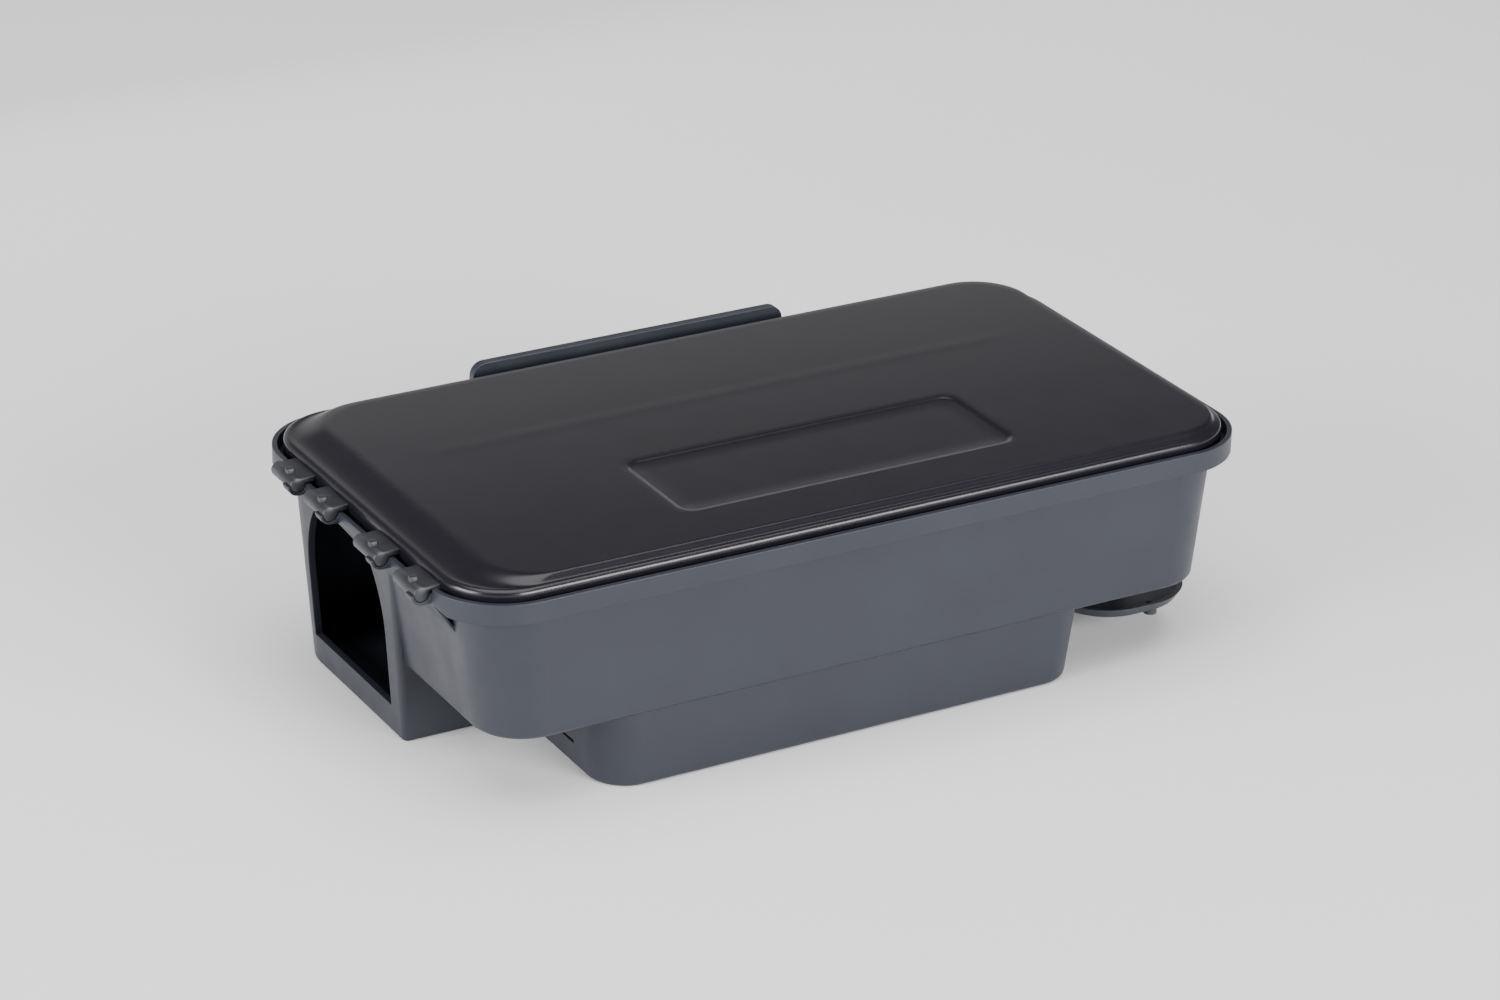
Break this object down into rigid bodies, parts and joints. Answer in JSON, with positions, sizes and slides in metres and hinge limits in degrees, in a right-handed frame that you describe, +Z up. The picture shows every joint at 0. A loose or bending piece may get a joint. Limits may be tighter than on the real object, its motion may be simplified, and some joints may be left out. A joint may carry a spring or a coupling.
{
  "type": "bait station",
  "caption": "Low rectangular rodent bait station with a hinged lid, arched end entrances, a walk-through tunnel, a stepped bait well and a stored key.",
  "frame": {"origin": "on the ground, under the middle of the case rim", "axes": "+X along the case from the hinge end to the lock end, +Y towards the wall side, +Z up"},
  "size_m": [0.245, 0.135, 0.0689],
  "materials": {
    "housing_plastic": "satin injection-moulded polypropylene, dark blue-grey",
    "lid_plastic": "smooth semi-gloss moulded polypropylene, near black",
    "key_plastic": "satin moulded polypropylene, dark grey",
    "liner_plastic": "satin moulded polypropylene, black",
    "rod_steel": "bright zinc-plated steel wire",
    "bait_wax": "pressed wax block with grain, dyed blue-green"
  },
  "bodies": {
    "case": {"base": "housing_plastic", "bait_tray": "liner_plastic", "bait_rod_left": "rod_steel", "bait_rod_right": "rod_steel", "bait_block_left_lower": "bait_wax", "bait_block_left_upper": "bait_wax", "bait_block_right_lower": "bait_wax", "bait_block_right_upper": "bait_wax", "baffle": "housing_plastic"},
    "lid": {"lid": "lid_plastic"},
    "lock_tongue": {"lock_tongue": "housing_plastic"},
    "key": {"key": "key_plastic"}
  },
  "joints": [
    {"name": "lid_hinge", "type": "hinge", "parent": "case", "child": "lid", "pos_m": [-0.1221, 0, 0.0622], "axis": [0, -1, 0], "range_deg": [0, 110]},
    {"name": "lock_tongue_flex", "type": "hinge", "parent": "case", "child": "lock_tongue", "pos_m": [0.1055, -0.035, 0.0272], "axis": [0, -1, 0], "range_deg": [0, 6], "stiffness_Nm_per_rad": 0.6},
    {"name": "key_release", "type": "slide", "parent": "case", "child": "key", "axis": [0, 0, -1], "range_m": [0, 0.0065]}
  ]
}
